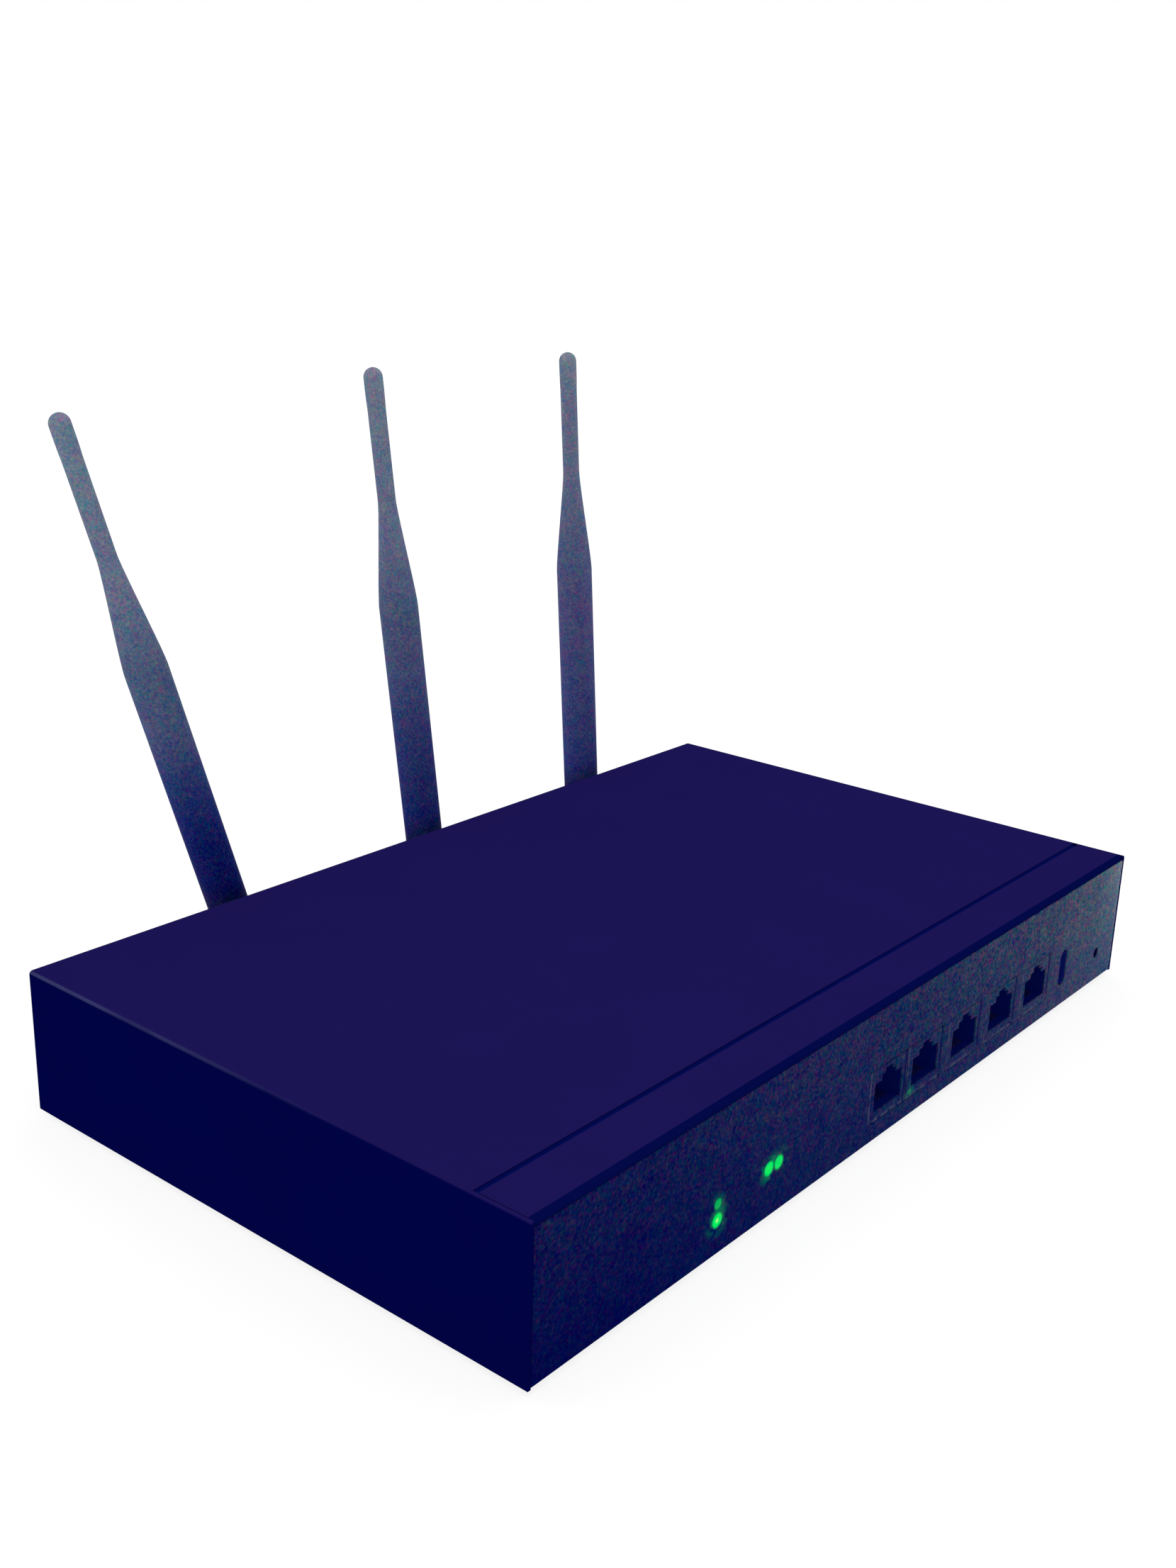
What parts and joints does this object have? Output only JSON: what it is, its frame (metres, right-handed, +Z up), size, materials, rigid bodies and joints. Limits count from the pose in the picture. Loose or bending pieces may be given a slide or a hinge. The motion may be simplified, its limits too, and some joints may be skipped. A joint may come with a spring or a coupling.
{
  "type": "wireless router",
  "caption": "Low desktop wireless router in a folded steel case, with front network ports and status lights and swivelling antennas at the back.",
  "frame": {"origin": "middle of the case's footprint, on the plane of the feet", "axes": "+X to the right seen from the front, +Y to the back, +Z up"},
  "size_m": [0.24, 0.1678, 0.157],
  "materials": {
    "cover_paint": "matt powder coat",
    "tray_paint": "matt powder coat",
    "front_film": "fine textured printed film",
    "foot_rubber": "matt moulded rubber",
    "screw_steel": "black zinc",
    "board_laminate": "solder mask",
    "tin_shell": "tin plated",
    "jack_plastic": "moulded",
    "gold_contact": "gold flashed",
    "light_plastic": "clear moulded, lit green where on",
    "button_plastic": "moulded",
    "chip_resin": "moulded epoxy",
    "sink_aluminium": "black anodised",
    "pad_silicone": "soft silicone",
    "capacitor_can": "sleeved can",
    "lead_jacket": "smooth jacket",
    "connector_brass": "gold plated",
    "antenna_plastic": "satin moulded",
    "pin_steel": "plain",
    "switch_plastic": "moulded"
  },
  "bodies": {
    "root": {"antenna_connector_1": "connector_brass", "antenna_connector_2": "connector_brass", "antenna_connector_3": "connector_brass", "base_tray": "tray_paint", "board_screws": "screw_steel", "board_standoffs": "screw_steel", "capacitors": "capacitor_can", "coax_lead_1": "lead_jacket", "coax_lead_2": "lead_jacket", "coax_lead_3": "lead_jacket", "coax_plugs": "gold_contact", "coax_sockets": "gold_contact", "connector_nuts": "connector_brass", "connector_washers": "connector_brass", "coupling_nuts": "connector_brass", "cover_screws": "screw_steel", "dc_inlet": "jack_plastic", "dc_inlet_pin": "pin_steel", "flash_chip": "chip_resin", "front_overlay": "front_film", "heat_sink": "sink_aluminium", "inductors": "chip_resin", "jack_contacts": "gold_contact", "jack_insert_1": "jack_plastic", "jack_insert_2": "jack_plastic", "jack_insert_3": "jack_plastic", "jack_insert_4": "jack_plastic", "jack_insert_5": "jack_plastic", "jack_link_leds": "light_plastic", "jack_shield_1": "tin_shell", "jack_shield_2": "tin_shell", "jack_shield_3": "tin_shell", "jack_shield_4": "tin_shell", "jack_shield_5": "tin_shell", "light_guide": "light_plastic", "magnetics": "chip_resin", "main_board": "board_laminate", "memory_chips": "chip_resin", "processor": "chip_resin", "radio_shield": "tin_shell", "reset_switch": "button_plastic", "rubber_feet": "foot_rubber", "status_leds": "light_plastic", "switch_chip": "chip_resin", "switch_housing": "switch_plastic", "thermal_pad": "pad_silicone", "top_cover": "cover_paint", "usb_shell": "tin_shell", "usb_tongue": "jack_plastic"},
    "antenna_swivel_1": {"antenna_elbow_1": "antenna_plastic", "hinge_pin_1": "pin_steel"},
    "antenna_swivel_2": {"antenna_elbow_2": "antenna_plastic", "hinge_pin_2": "pin_steel"},
    "antenna_swivel_3": {"antenna_elbow_3": "antenna_plastic", "hinge_pin_3": "pin_steel"},
    "antenna_tilt_1": {"antenna_blade_1": "antenna_plastic"},
    "antenna_tilt_2": {"antenna_blade_2": "antenna_plastic"},
    "antenna_tilt_3": {"antenna_blade_3": "antenna_plastic"},
    "reset_button": {"reset_button": "button_plastic"},
    "power_rocker": {"power_rocker": "switch_plastic"}
  },
  "joints": [
    {"name": "antenna_1_swivel", "type": "hinge", "parent": "root", "child": "antenna_swivel_1", "pos_m": [-0.0499, 0.08945, 0.0185], "axis": [0, 1, 0], "range_deg": [-72, 30]},
    {"name": "antenna_1_tilt", "type": "hinge", "parent": "antenna_swivel_1", "child": "antenna_tilt_1", "pos_m": [-0.0499, 0.08945, 0.0185], "axis": [-0.9516, 0, -0.3074], "range_deg": [0, 90]},
    {"name": "antenna_2_swivel", "type": "hinge", "parent": "root", "child": "antenna_swivel_2", "pos_m": [0.0186, 0.08945, 0.0185], "axis": [0, 1, 0], "range_deg": [-27, 23]},
    {"name": "antenna_2_tilt", "type": "hinge", "parent": "antenna_swivel_2", "child": "antenna_tilt_2", "pos_m": [0.0186, 0.08945, 0.0185], "axis": [-0.9905, 0, -0.1374], "range_deg": [0, 90]},
    {"name": "antenna_3_swivel", "type": "hinge", "parent": "root", "child": "antenna_swivel_3", "pos_m": [0.0874, 0.08945, 0.0185], "axis": [0, 1, 0], "range_deg": [-23, 95]},
    {"name": "antenna_3_tilt", "type": "hinge", "parent": "antenna_swivel_3", "child": "antenna_tilt_3", "pos_m": [0.0874, 0.08945, 0.0185], "axis": [-0.9962, 0, -0.0872], "range_deg": [0, 90]},
    {"name": "reset_press", "type": "slide", "parent": "root", "child": "reset_button", "axis": [0, 1, 0], "range_m": [0, 0.0005], "stiffness_N_per_m": 1500},
    {"name": "power_rock", "type": "hinge", "parent": "root", "child": "power_rocker", "pos_m": [-0.076, 0.07185, 0.0155], "axis": [-1, 0, 0], "range_deg": [0, 20]}
  ]
}
